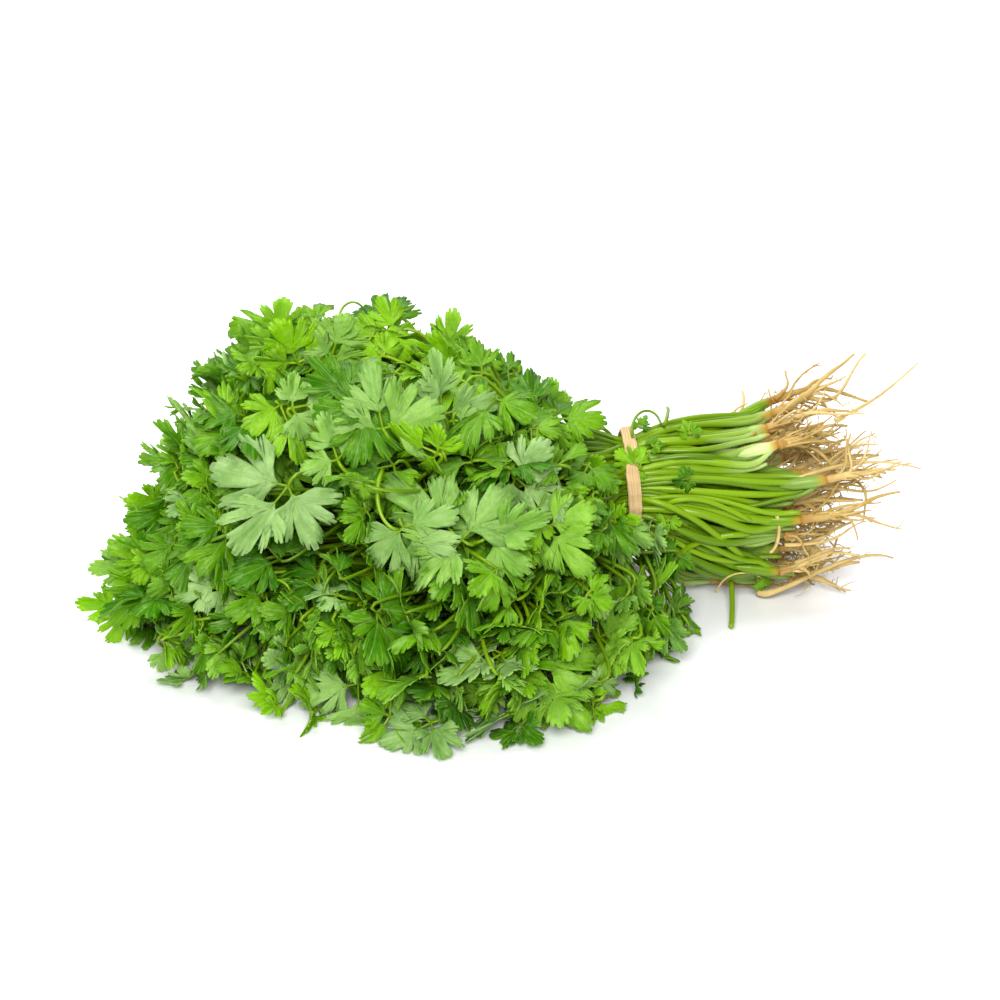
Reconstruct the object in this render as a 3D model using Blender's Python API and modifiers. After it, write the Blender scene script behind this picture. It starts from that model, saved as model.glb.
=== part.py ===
"""A bunch of whole coriander plants, pulled with their roots, bound by a rubber band and laid down.

Units are metres and +Z is up. The bunch lies along X, with its leaves towards -X and its roots
towards +X, and rests on the plane z = 0. Every plant is two solids: its green part, which is a
crown with leafy stems, and its root. While the plants are laid out, x is measured from the band.
"""

import math
import random

import bmesh
import bpy
import numpy as np
from mathutils import Vector
from mathutils.bvhtree import BVHTree
from mathutils.geometry import tessellate_polygon

SEED = 20
GOLDEN_ANGLE = math.radians(137.508)

# Leafy head: an egg whose flattened side lies on the table. Leaves reach past it.
HEAD_CENTRE = Vector((-0.116, 0.0, 0.055))
HEAD_HALF_LENGTH = 0.102
HEAD_HALF_WIDTH = 0.098
HEAD_HALF_HEIGHT = 0.077
HEAD_HALF_DEPTH = 0.047
HEAD_OPENING = math.radians(132)
HEAD_LAYERS = (-0.016, 0.006)
LYING_BELOW = -0.80

# Stems: each keeps its place in the round bundle from the crowns to the leaves.
STEMS = 62
BAND_HEIGHT = 0.050
BUNDLE_RADIUS = 0.0215
STEM_RADIUS_AT_CROWN = 0.0023
STEM_RADIUS_AT_BAND = 0.0018
STEM_RADIUS_AT_LEAF = 0.0009
STEM_STEPS = 4

# Plants: rings of crowns at the root end, as (crowns, share of the bundle's end radius).
CROWN_RINGS = ((1, 0.0), (6, 0.42), (12, 0.84))
CROWN_X = 0.072
CROWN_STAGGER = 0.010
CROWN_END_RADIUS = 0.040
CROWN_RADIUS = 0.0052
CROWN_LENGTH = 0.016

# Leaf blades: three fans of teeth on one hub, cut to the rib between them. Teeth and the cuts
# between them are given as (turn in degrees, reach).
BLADE_THICKNESS = 0.0007
LEAF_SIZE = 0.037
LEAF_FANS = ((-86, 0.86), (0, 1.0), (86, 0.86))
FAN_TEETH = ((-48, 0.66), (-19, 0.80), (0, 0.88), (19, 0.80), (48, 0.66))
FAN_CUTS = ((-34, 0.42), (-10, 0.70), (10, 0.70), (34, 0.42))
FAN_BASE = 0.22
CUT_BETWEEN_FANS = 0.17
PETIOLE_IN_BLADE = 0.14
FOLD_LIMIT = 0.45
LEAF_DROOP = (0.15, 0.32)

# Roots: a tapering taproot with thinner side roots.
ROOT_LENGTH = (0.030, 0.056)
ROOT_RADIUS = 0.0025
ROOT_TIP_RADIUS = 0.0006
ROOT_COLLAR = 0.003
SIDE_ROOTS = 2
SIDE_ROOT_LENGTH = (0.016, 0.030)
SIDE_ROOT_RADIUS = 0.0010

# Rubber band: one loop wound three times, its turns lying side by side.
BAND_TURNS = 3
BAND_TURN_WIDTH = 0.0017
BAND_THICKNESS = 0.0013
BAND_GROOVE = 0.0004
BAND_STEPS = 28

GAP = 0.0004
SAMPLE_STEP = 0.002
TRIES = 260

LEAF_GREEN = (0.13, 0.33, 0.03, 1)
ROOT_TAN = (0.58, 0.38, 0.16, 1)
BAND_TAN = (0.62, 0.38, 0.20, 1)


def clear_scene():
    for obj in list(bpy.data.objects):
        bpy.data.objects.remove(obj)


def new_collection(name):
    collection = bpy.data.collections.new(name)
    bpy.context.scene.collection.children.link(collection)
    return collection


def new_material(name, colour, roughness):
    material = bpy.data.materials.new(name)
    material.use_nodes = True
    shader = material.node_tree.nodes["Principled BSDF"]
    shader.inputs["Base Color"].default_value = colour
    shader.inputs["Roughness"].default_value = roughness
    shader.inputs["Metallic"].default_value = 0.0
    return material


def baked(obj):
    """The object's shape as a mesh, with its modifiers applied."""
    bpy.context.view_layer.update()
    graph = bpy.context.evaluated_depsgraph_get()
    return bpy.data.meshes.new_from_object(obj.evaluated_get(graph))


def tube(name, collection, points, radii, resolution=0):
    """A tapering round tube through the points, closed at both ends."""
    curve = bpy.data.curves.new(name, "CURVE")
    curve.dimensions = "3D"
    curve.bevel_depth = 0.001
    curve.bevel_resolution = resolution
    curve.use_fill_caps = True
    spline = curve.splines.new("POLY")
    spline.points.add(len(points) - 1)
    for control, point, radius in zip(spline.points, points, radii):
        control.co = (*point, 1.0)
        control.radius = radius / curve.bevel_depth
    drawn = bpy.data.objects.new(name, curve)
    collection.objects.link(drawn)
    mesh = baked(drawn)
    welded = bmesh.new()
    welded.from_mesh(mesh)
    bmesh.ops.remove_doubles(welded, verts=welded.verts, dist=1e-6)
    welded.to_mesh(mesh)
    welded.free()
    obj = bpy.data.objects.new(name + "_mesh", mesh)
    obj.matrix_world = drawn.matrix_world
    collection.objects.link(obj)
    bpy.data.objects.remove(drawn)
    return obj


def blade(name, collection, points, triangles):
    """A leaf's sheet, given its thickness."""
    mesh = bpy.data.meshes.new(name)
    mesh.from_pydata(points, [], triangles)
    obj = bpy.data.objects.new(name, mesh)
    collection.objects.link(obj)
    skin = obj.modifiers.new("thickness", "SOLIDIFY")
    skin.thickness = BLADE_THICKNESS
    skin.offset = 0.0
    return obj


def turn_shared_diagonal(work, edge):
    """Where four triangles share an edge, gives one pair of them its other diagonal."""
    for face in edge.link_faces:
        for mate in edge.link_faces:
            if face is mate or face.normal.dot(mate.normal) < 0.95:
                continue
            corner = next(vert for vert in face.verts if vert not in edge.verts)
            opposite = next(vert for vert in mate.verts if vert not in edge.verts)
            order = list(face.verts)
            k = order.index(corner)
            before, after = order[k - 1], order[(k + 1) % 3]
            bmesh.ops.delete(work, geom=[face, mate], context="FACES_ONLY")
            work.faces.new((before, corner, opposite))
            work.faces.new((corner, after, opposite))
            return


def in_clean_triangles(mesh):
    """Cuts a joined mesh to triangles so that every edge has two. Flat doubled flaps are dropped."""
    work = bmesh.new()
    work.from_mesh(mesh)
    bmesh.ops.triangulate(work, faces=work.faces)
    seen, doomed = {}, []
    for face in work.faces:
        key = frozenset(vert.index for vert in face.verts)
        if key in seen:
            doomed += [seen[key], face]
        seen[key] = face
    bmesh.ops.delete(work, geom=doomed, context="FACES_ONLY")
    loose_edges = [edge for edge in work.edges if not edge.link_faces]
    bmesh.ops.delete(work, geom=loose_edges, context="EDGES")
    loose_verts = [vert for vert in work.verts if not vert.link_edges]
    bmesh.ops.delete(work, geom=loose_verts, context="VERTS")
    for edge in [edge for edge in work.edges if len(edge.link_faces) > 2]:
        turn_shared_diagonal(work, edge)
    work.to_mesh(mesh)
    work.free()


def fused(name, base, repeats, material):
    """One solid named name: the base joined with everything in the repeats collection."""
    join = base.modifiers.new("join", "BOOLEAN")
    join.operation = "UNION"
    join.operand_type = "COLLECTION"
    join.collection = repeats
    join.solver = "MANIFOLD"
    base_mesh = baked(base)
    in_clean_triangles(base_mesh)
    base.modifiers.clear()
    base.data = base_mesh
    base.name = name
    base_mesh.name = name
    base_mesh.materials.clear()
    base_mesh.materials.append(material)
    for obj in list(repeats.objects):
        bpy.data.objects.remove(obj)
    bpy.data.collections.remove(repeats)
    return base


class Space:
    """What has been placed, so that the next piece can be laid clear of it."""

    def __init__(self):
        self.pieces = []

    @staticmethod
    def piece(owner, kind, samples, tree=None):
        """Samples are rows of x, y, z and radius. A sheet also has a tree of its triangles."""
        samples = np.array(samples)
        return {
            "owner": owner,
            "kind": kind,
            "samples": samples,
            "tree": tree,
            "low": (samples[:, :3] - samples[:, 3:]).min(0) - GAP,
            "high": (samples[:, :3] + samples[:, 3:]).max(0) + GAP,
        }

    @staticmethod
    def near_sheet(samples, sheet):
        reach = BLADE_THICKNESS / 2 + 1.5 * GAP
        for x, y, z, radius in samples:
            if sheet["tree"].find_nearest((x, y, z), radius + reach)[0] is not None:
                return True
        return False

    def meets(self, a, b):
        if (a["low"] > b["high"]).any() or (b["low"] > a["high"]).any():
            return False
        between = np.linalg.norm(a["samples"][:, None, :3] - b["samples"][None, :, :3], axis=2)
        reach = a["samples"][:, None, 3] + b["samples"][None, :, 3] + GAP
        if (between < reach).any():
            return True
        if a["tree"] and b["tree"] and a["tree"].overlap(b["tree"]):
            return True
        if a["tree"] and self.near_sheet(b["samples"], a):
            return True
        return bool(b["tree"] and self.near_sheet(a["samples"], b))

    def is_free(self, new):
        for old in self.pieces:
            same_plant = old["owner"] == new["owner"]
            if same_plant and old["kind"] == new["kind"] == "stem":
                continue
            if self.meets(new, old):
                return False
        return True


def stem_samples(points, radii):
    """Balls close together along a tube."""
    rows = []
    for i in range(len(points) - 1):
        steps = max(1, math.ceil((points[i + 1] - points[i]).length / SAMPLE_STEP))
        for k in range(steps):
            share = k / steps
            centre = points[i].lerp(points[i + 1], share)
            rows.append((*centre, radii[i] + (radii[i + 1] - radii[i]) * share))
    rows.append((*points[-1], radii[-1]))
    return rows


def sheet_samples(points, triangles):
    rows = [(*p, BLADE_THICKNESS / 2) for p in points]
    for a, b, c in triangles:
        for p in (
            (points[a] + points[b]) / 2,
            (points[b] + points[c]) / 2,
            (points[c] + points[a]) / 2,
            (points[a] + points[b] + points[c]) / 3,
        ):
            rows.append((*p, BLADE_THICKNESS / 2))
    return rows


def disc_place(number, count):
    """Place of one of count points spread evenly over the unit disc, as a sunflower sets its seeds."""
    reach = math.sqrt((number + 0.5) / count)
    turn = number * GOLDEN_ANGLE
    return reach * math.cos(turn), reach * math.sin(turn)


def crown_places():
    places = []
    for ring, (count, share) in enumerate(CROWN_RINGS):
        for k in range(count):
            turn = 2 * math.pi * (k + 0.5 * ring) / count
            places.append((share * math.cos(turn), share * math.sin(turn)))
    return places


def crown_point(place, number):
    """Where a plant's stems meet its root. The lowest crowns touch the table."""
    lowest = max(share for _, share in CROWN_RINGS) * CROWN_END_RADIUS
    stagger = CROWN_STAGGER * math.sin(number * GOLDEN_ANGLE)
    side = place[0] * CROWN_END_RADIUS
    height = lowest + CROWN_RADIUS + place[1] * CROWN_END_RADIUS
    return Vector((CROWN_X + stagger, side, height))


def crown_axis(place):
    """Direction from a crown towards the band."""
    return Vector((-1, -0.35 * place[0], -0.35 * place[1])).normalized()


def head_point(place, layer):
    """A point of the head's surface and its outward direction, for a stem's place in the bundle."""
    reach = min(1.0, math.hypot(*place))
    share = (1 - math.cos(HEAD_OPENING)) * reach**2
    ahead = 1 - share
    across = math.sqrt(max(0.0, 1 - ahead**2))
    side = across * place[0] / reach
    rise = across * place[1] / reach
    half_height = HEAD_HALF_HEIGHT if rise > 0 else HEAD_HALF_DEPTH
    offset = Vector((-ahead * HEAD_HALF_LENGTH, side * HEAD_HALF_WIDTH, rise * half_height))
    outward = Vector(
        (-ahead / HEAD_HALF_LENGTH, side / HEAD_HALF_WIDTH, rise / half_height)
    ).normalized()
    return HEAD_CENTRE + offset + outward * layer, outward


def leaf_outline(draw):
    """The leaf's edge, hub at the origin and tip along the first axis, for a leaf of size 1."""
    edge = [(-0.05, 0.05), (-0.05, -0.05)]
    for number, (lean, length) in enumerate(LEAF_FANS):
        lean = math.radians(lean)
        base = (FAN_BASE * length * math.cos(lean), FAN_BASE * length * math.sin(lean))
        if number:
            cut = math.radians((LEAF_FANS[number - 1][0] + LEAF_FANS[number][0]) / 2)
            edge.append((CUT_BETWEEN_FANS * math.cos(cut), CUT_BETWEEN_FANS * math.sin(cut)))
        for turn, reach in sorted(FAN_TEETH + FAN_CUTS):
            angle = lean + math.radians(turn + draw.uniform(-3, 3))
            distance = length * reach * draw.uniform(0.93, 1.06)
            edge.append((base[0] + distance * math.cos(angle), base[1] + distance * math.sin(angle)))
    return edge


def leaf_sheet(hub, tip, up, size, droop, draw):
    """Points and triangles of an arched leaf, and whether it is free of tight folds.

    What would sink below the table lies flat on it.
    """
    side = up.cross(tip)
    edge = leaf_outline(draw)
    points = []
    for along, across in edge:
        fall = droop * (along**2 + across**2) * size
        point = hub + tip * (along * size) + side * (across * size) - up * fall
        point.z = max(point.z, BLADE_THICKNESS / 2)
        points.append(point)
    flat = [Vector((along, across, 0)) for along, across in edge]
    triangles = []
    smooth = True
    for a, b, c in tessellate_polygon([flat]):
        turned = (flat[b] - flat[a]).cross(flat[c] - flat[a]).z
        triangles.append((a, b, c) if turned > 0 else (c, b, a))
        a, b, c = triangles[-1]
        normal = (points[b] - points[a]).cross(points[c] - points[a]).normalized()
        smooth = smooth and normal.dot(up) > FOLD_LIMIT
    return points, triangles, smooth


def stem_path(root, place, hub, arrival, tip, size):
    """Centreline and radii from inside a crown, through the band, to a leaf's middle rib."""
    squeeze = Vector((0, place[0] * BUNDLE_RADIUS, BAND_HEIGHT + place[1] * BUNDLE_RADIUS))
    beside = Vector((BAND_TURNS * BAND_TURN_WIDTH / 2 + 0.001, 0, 0))
    band = squeeze - beside
    flare = Vector((-1, 0.8 * place[0], 0.6 * place[1])).normalized()
    span = (hub - band).length
    start, end = flare * span * 0.9, arrival * span * 0.75
    shoulder = root.lerp(squeeze, 0.45) + Vector((0, place[0], place[1])) * 0.002
    points = [root, shoulder, squeeze + beside]
    radii = [STEM_RADIUS_AT_CROWN, STEM_RADIUS_AT_CROWN, STEM_RADIUS_AT_BAND]
    for k in range(STEM_STEPS + 1):
        t = k / STEM_STEPS
        point = (
            band * (2 * t**3 - 3 * t**2 + 1)
            + start * (t**3 - 2 * t**2 + t)
            + hub * (3 * t**2 - 2 * t**3)
            + end * (t**3 - t**2)
        )
        points.append(point)
        radii.append(STEM_RADIUS_AT_BAND + (STEM_RADIUS_AT_LEAF - STEM_RADIUS_AT_BAND) * t)
    points.append(hub + tip * (PETIOLE_IN_BLADE * size))
    radii.append(STEM_RADIUS_AT_LEAF * 0.8)
    for point, radius in zip(points, radii):
        point.z = max(point.z, radius + 0.0002)
    return points, radii


def leaf_pose(place, draw):
    """Where a leaf's hub sits and how its blade lies: way of arrival, tip, upper side and droop.

    Leaves on the underside of the head lie flat on the table.
    """
    hub, outward = head_point(place, draw.uniform(*HEAD_LAYERS))
    if outward.z < LYING_BELOW:
        hub.z = BLADE_THICKNESS / 2
        turn = math.atan2(outward.y, -0.3) + math.radians(draw.uniform(-80, 80))
        tip = Vector((math.cos(turn), math.sin(turn), 0))
        return hub, (tip + Vector((-0.6, 0, -0.25))).normalized(), tip, Vector((0, 0, 1)), 0.0
    away = Vector((-0.6, 0.5 * outward.y, -0.8 if outward.z < 0.75 else 0.0))
    up = outward if outward.z > -0.2 else Vector((outward.x, outward.y, -outward.z))
    tip = (away - up * away.dot(up)).normalized()
    spin = math.radians(draw.uniform(-55, 55))
    tip = tip * math.cos(spin) + up.cross(tip) * math.sin(spin)
    lift = math.radians(draw.uniform(-8, 34))
    tilted_tip = tip * math.cos(lift) + up * math.sin(lift)
    tilted_up = up * math.cos(lift) - tip * math.sin(lift)
    side = tilted_up.cross(tilted_tip)
    roll = math.radians(draw.uniform(-22, 22))
    tilted_up = tilted_up * math.cos(roll) + side * math.sin(roll)
    hub.z = max(hub.z, 0.002)
    arrival = (outward * 0.65 + tip * 0.75).normalized()
    return hub, arrival, tilted_tip, tilted_up, draw.uniform(*LEAF_DROOP)


def place_stem(space, owner, root, place, draw):
    """Tries poses for one stem and its leaf until both lie clear, with smaller leaves later on."""
    for attempt in range(TRIES):
        size = LEAF_SIZE * draw.uniform(0.9, 1.08) * (1 - 0.45 * attempt / TRIES)
        hub, arrival, tip, up, droop = leaf_pose(place, draw)
        points, triangles, smooth = leaf_sheet(hub, tip, up, size, droop, draw)
        if not smooth:
            continue
        path, radii = stem_path(root, place, hub, arrival, tip, size)
        tree = BVHTree.FromPolygons(points, triangles)
        leaf = space.piece(owner, "leaf", sheet_samples(points, triangles), tree)
        stem = space.piece(owner, "stem", stem_samples(path, radii))
        if space.is_free(stem) and space.is_free(leaf):
            space.pieces += [stem, leaf]
            return path, radii, points, triangles
    return None


def build_plants(collection, space, crowns, material):
    places = [disc_place(k, STEMS) for k in range(STEMS)]
    crown_of = [
        min(range(len(crowns)), key=lambda c: math.dist(crowns[c], place)) for place in places
    ]
    centres = [crown_point(place, number) for number, place in enumerate(crowns)]
    for number, centre in enumerate(centres):
        neck = centre + crown_axis(crowns[number]) * CROWN_LENGTH
        balls = stem_samples([centre, neck], [CROWN_RADIUS * 0.87] * 2)
        space.pieces.append(space.piece(number, "stem", balls))
    draw = random.Random(SEED)
    grown = {number: [] for number in range(len(crowns))}
    order = sorted(range(STEMS), key=lambda k: -places[k][1])
    for k in order:
        owner = crown_of[k]
        axis = crown_axis(crowns[owner])
        aside = Vector((0, places[k][0] - crowns[owner][0], places[k][1] - crowns[owner][1]))
        root = centres[owner] + axis * (CROWN_LENGTH * draw.uniform(0.35, 0.5)) + aside * 0.005
        found = place_stem(space, owner, root, places[k], draw)
        if found:
            grown[owner].append(found)
        else:
            print("no room for stem", k)
    for number, centre in enumerate(centres):
        name = f"plant_{number + 1:02d}"
        axis = crown_axis(crowns[number])
        neck = centre + axis * CROWN_LENGTH
        middle = centre + axis * CROWN_LENGTH * 0.4
        base = tube(
            name, collection, [centre, middle, neck],
            [CROWN_RADIUS * 0.7, CROWN_RADIUS * 0.85, CROWN_RADIUS * 0.55], resolution=1,
        )
        repeats = new_collection(name + "_repeats")
        for k, (path, radii, points, triangles) in enumerate(grown[number]):
            tube(f"{name}_stem_{k}", repeats, path, radii)
            blade(f"{name}_leaf_{k}", repeats, points, triangles)
        fused(name, base, repeats, material)


def root_path(start, heading, length, radius, tip_radius, steps, draw):
    """A wandering, tapering root that never sinks below the table."""
    points, radii = [start.copy()], [radius]
    direction = heading.normalized()
    for k in range(1, steps + 1):
        sway = Vector((0, draw.uniform(-1, 1), draw.uniform(-1, 1))) * 0.22
        direction = (direction + sway).normalized()
        share = k / steps
        point = points[-1] + direction * (length / steps)
        width = radius + (tip_radius - radius) * share**0.7
        point.z = max(point.z, width + 0.0003)
        points.append(point)
        radii.append(width)
    return points, radii


def build_roots(collection, space, crowns, material):
    draw = random.Random(SEED + 1)
    for number, place in enumerate(crowns):
        name = f"root_{number + 1:02d}"
        axis = crown_axis(place)
        start = crown_point(place, number) - axis * GAP
        for attempt in range(200):
            heading = Vector((1, 0.35 * place[0] + draw.uniform(-0.1, 0.1), 0.25 * place[1] + 0.1))
            length = draw.uniform(*ROOT_LENGTH)
            collar = start - axis * ROOT_COLLAR
            main = root_path(collar, heading, length, ROOT_RADIUS, ROOT_TIP_RADIUS, 6, draw)
            main = ([start, *main[0]], [ROOT_RADIUS * 1.2, *main[1]])
            branches = [main]
            for k in range(SIDE_ROOTS):
                begin = main[0][2 + k]
                turn = draw.uniform(0, 2 * math.pi)
                lean = Vector((1, 0.6 * math.cos(turn), 0.6 * math.sin(turn)))
                branches.append(
                    root_path(begin, lean, draw.uniform(*SIDE_ROOT_LENGTH),
                              SIDE_ROOT_RADIUS, ROOT_TIP_RADIUS * 0.7, 3, draw)
                )
            pieces = [
                space.piece(f"root {number}", "stem", stem_samples(*branch)) for branch in branches
            ]
            others = [old for old in space.pieces if old["owner"] != number]
            if not any(space.meets(piece, old) for piece in pieces for old in others):
                break
        else:
            print("no room for root", number)
            continue
        space.pieces += pieces
        base = tube(name, collection, *main)
        repeats = new_collection(name + "_repeats")
        for k, branch in enumerate(branches[1:]):
            tube(f"{name}_side_{k}", repeats, *branch)
        fused(name, base, repeats, material)


def build_band(collection, material):
    """A ring turned about X, with a groove between each turn of the band and the next."""
    inner = BUNDLE_RADIUS + STEM_RADIUS_AT_BAND + 0.0006
    outer = inner + BAND_THICKNESS
    width = BAND_TURNS * BAND_TURN_WIDTH
    profile = [(width / 2, inner), (-width / 2, inner), (-width / 2, outer)]
    for turn in range(1, BAND_TURNS):
        seam = -width / 2 + turn * BAND_TURN_WIDTH
        profile += [
            (seam - BAND_GROOVE / 2, outer), (seam, outer - BAND_GROOVE), (seam + BAND_GROOVE / 2, outer)
        ]
    profile.append((width / 2, outer))
    profile.reverse()
    mesh = bpy.data.meshes.new("rubber_band")
    edges = [(k, (k + 1) % len(profile)) for k in range(len(profile))]
    mesh.from_pydata([(x, 0.0, r) for x, r in profile], edges, [])
    band = bpy.data.objects.new("rubber_band", mesh)
    band.location = (0, 0, BAND_HEIGHT)
    mesh.materials.append(material)
    collection.objects.link(band)
    turned = band.modifiers.new("turned", "SCREW")
    turned.axis = "X"
    turned.steps = BAND_STEPS
    turned.render_steps = BAND_STEPS
    turned.use_merge_vertices = True
    turned.merge_threshold = 0.00001
    return band


def stand_on_origin(collection):
    """Moves the bunch so that the origin is under the middle of its box, on the table."""
    bpy.context.view_layer.update()
    corners = [
        obj.matrix_world @ Vector(corner) for obj in collection.objects for corner in obj.bound_box
    ]
    low = Vector([min(c[i] for c in corners) for i in range(3)])
    high = Vector([max(c[i] for c in corners) for i in range(3)])
    shift = Vector((-(low.x + high.x) / 2, -(low.y + high.y) / 2, -low.z))
    for obj in collection.objects:
        obj.location += shift
    print("band centre", tuple(round(v, 4) for v in Vector((0, 0, BAND_HEIGHT)) + shift))


def main():
    clear_scene()
    collection = new_collection("coriander_bunch")
    leaf_green = new_material("leaf_green", LEAF_GREEN, 0.5)
    root_tan = new_material("root_tan", ROOT_TAN, 0.8)
    band_tan = new_material("band_tan", BAND_TAN, 0.6)
    space = Space()
    crowns = crown_places()
    build_plants(collection, space, crowns, leaf_green)
    build_roots(collection, space, crowns, root_tan)
    build_band(collection, band_tan)
    stand_on_origin(collection)


main()
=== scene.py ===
import math
from functools import partialmethod

import bpy
import numpy as np
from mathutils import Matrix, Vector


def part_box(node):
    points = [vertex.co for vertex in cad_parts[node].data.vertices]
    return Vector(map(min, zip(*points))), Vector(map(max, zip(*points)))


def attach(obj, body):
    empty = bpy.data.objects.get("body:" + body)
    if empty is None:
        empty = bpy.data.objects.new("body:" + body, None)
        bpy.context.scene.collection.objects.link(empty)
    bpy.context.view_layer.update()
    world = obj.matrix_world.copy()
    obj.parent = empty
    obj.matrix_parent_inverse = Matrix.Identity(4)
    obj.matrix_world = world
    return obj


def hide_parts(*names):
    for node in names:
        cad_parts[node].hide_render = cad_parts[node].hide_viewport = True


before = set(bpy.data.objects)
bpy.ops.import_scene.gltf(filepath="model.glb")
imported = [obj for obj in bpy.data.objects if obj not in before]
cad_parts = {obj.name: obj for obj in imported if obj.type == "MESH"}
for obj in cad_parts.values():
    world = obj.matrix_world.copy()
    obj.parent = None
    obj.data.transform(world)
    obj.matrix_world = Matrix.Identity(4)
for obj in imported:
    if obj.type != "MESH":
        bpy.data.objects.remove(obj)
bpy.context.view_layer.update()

scene = bpy.context.scene

# Stems and crowns
# Whole coriander plants are pulled from the bed and laid side by side. Each one's leaf stalks rise
# from a short crown on its root: round and solid, pale where they sheathe it, glossy green above.

STEMS = 330
LEAVES = 920
LEAF_LAYERS = ((52, 1.0), (30, 0.84), (18, 0.62))  # percent of the leaves, share of the way out
TRIALS = 9000
CROWN_RINGS = ((1, 0.0), (6, 0.42), (12, 0.84))  # plants, share of the bundle's end radius
CROWN_X = 0.072  # past the band
CROWN_STAGGER = 0.010
CROWN_SPREAD = 0.040
CROWN_RADIUS = 0.0052
CROWN_TWIN = 0.0060
CROWN_FAN = 0.028
CROWN_LENGTH = 0.019
LOOSE_STEMS = 0.20  # share of the stems
BAND_TILT = 0.0058
BUNDLE_RADIUS = 0.0215  # inside the band
STEM_RADIUS = 0.00114
STEM_PROFILE = (  # point along a stem from its root, radius there, share of its own radius
    (0, 0.0007, 0), (2, 0.0012, 0), (5, 0, 1.25), (8, 0, 1.40), (13, 0, 1.3), (18, 0, 1),
    (24, 0, 0.85), (35, 0.0009, 0),
)
STRAY, STRAY_FAR = 0.0016, 0.0042
UNDER_BAND = 0.0036  # half a stem's straight part
FORK_WAY, FORK_INWARD = (0.66, 0.80), (0.5, 0.7)  # shares of the way to a stem's leaves
GOLDEN_ANGLE = math.radians(137.508)
OFF_TABLE = 0.0005
NECK_HIGH, NECK_WIDE = 0.040, 0.026
HUB_HEIGHTS, HUB_DEPTHS = (0.003, 0.1205), (-0.014, 0.002)
MOUND = (  # distance past the band, half width in front and behind, height
    (-0.194, 0.008, 0.026, 0.034), (-0.181, 0.018, 0.047, 0.056), (-0.164, 0.036, 0.064, 0.088),
    (-0.142, 0.060, 0.082, 0.115), (-0.116, 0.080, 0.087, 0.119), (-0.088, 0.088, 0.083, 0.114),
    (-0.060, 0.092, 0.072, 0.100), (-0.030, 0.071, 0.052, 0.080), (-0.008, 0.042, 0.034, 0.067),
    (0.010, 0.032, 0.026, 0.058),
)
MOUND_END = MOUND[0][0]
AXIS_HEIGHT = 0.045
STEM_SLOT = 0

draw = np.random.default_rng(7)
band_low, band_high = (np.array(corner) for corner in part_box("rubber_band"))
BAND = (band_low + band_high) / 2


def unit(v):
    return v / np.linalg.norm(v, axis=-1, keepdims=True)


def lengths_of(rows):
    return np.linalg.norm(rows, axis=1)


def join(*parts):
    return np.concatenate(parts)


def grid(first, second):
    """Every pairing of two rows of numbers, as two flat rows."""
    return (rows.ravel() for rows in np.meshgrid(first, second, indexing="ij"))


def mound_point(past, turn, share=1.0):
    """A point on the leaves' mound. turn runs from the table in front over the top to the back."""
    station, *rows = np.array(MOUND).T
    front, behind, height = (np.interp(past, station, row) for row in rows)
    flat, steep = np.cos(turn), np.sin(turn)
    wide = np.where(flat > 0, -front, behind) * np.abs(flat) ** 0.8 * share
    high = AXIS_HEIGHT + (height * steep**0.75 - AXIS_HEIGHT) * share
    return np.stack((BAND[0] + past, BAND[1] + wide, high), -1)


def mound_outward(past, turn):
    """The direction straight out of the mound there."""
    step = 0.01
    turn = np.clip(turn, step, math.pi - step)
    over = mound_point(past, turn + step) - mound_point(past, turn - step)
    ahead = mound_point(past + 0.002, turn) - mound_point(past - 0.002, turn)
    return unit(np.cross(over, ahead))


def spread(points, count):
    """Indices of as many of the points, each as far as it can be from those before it."""
    chosen = [0]
    distance = np.full(len(points), np.inf)
    for _ in range(count - 1):
        distance = np.minimum(distance, lengths_of(points - points[chosen[-1]]))
        chosen.append(int(np.argmax(distance)))
    return chosen


# A leaf's three leaflets meet at its hub. The hubs stay clear of the stems next to the band.
hub_parts = []
for percent, share in LEAF_LAYERS:
    count = LEAVES * percent // 100
    past = draw.uniform(MOUND_END, 0.008, TRIALS)
    turn = np.arcsin(draw.uniform(0.0, 1.0, TRIALS) ** 0.8)
    turn = turn * draw.uniform(0.98, 1.02, TRIALS)
    turn = np.where(draw.random(TRIALS) < 0.5, turn, math.pi - turn)
    points = mound_point(past, turn, share)
    clear = past < np.where(points[:, 2] > NECK_HIGH, -0.035, -0.026)
    fits = clear | ((np.abs(points[:, 1] - BAND[1]) > NECK_WIDE) & (points[:, 2] < 0.034))
    past, turn, points = past[fits], turn[fits], points[fits]
    chosen = spread(points, count)
    outward = mound_outward(past[chosen], turn[chosen])
    hub_parts.append((points[chosen], outward, past[chosen], np.full(count, share)))
hubs, hub_outward, hub_past, hub_share = (join(*part) for part in zip(*hub_parts))
hubs = hubs + hub_outward * draw.uniform(*HUB_DEPTHS, (len(hubs), 1))
hubs[:, 2] = np.clip(hubs[:, 2], *HUB_HEIGHTS)


def stand(name, data):
    """A new object in the scene."""
    thing = bpy.data.objects.new(name, data)
    scene.collection.objects.link(thing)
    return thing


def shelved(sizes, width):
    """Where patches of these sizes lie in rows of a width, tallest first, and the square's side."""
    corners = np.zeros_like(sizes)
    across = down = row = 0.0
    for k in np.argsort(-sizes[:, 1]):
        if across + sizes[k, 0] > width:
            across, down, row = 0.0, down + row, 0.0
        corners[k] = across, down
        across += sizes[k, 0]
        row = max(row, sizes[k, 1])
    return corners, max(width, down + row)


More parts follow.
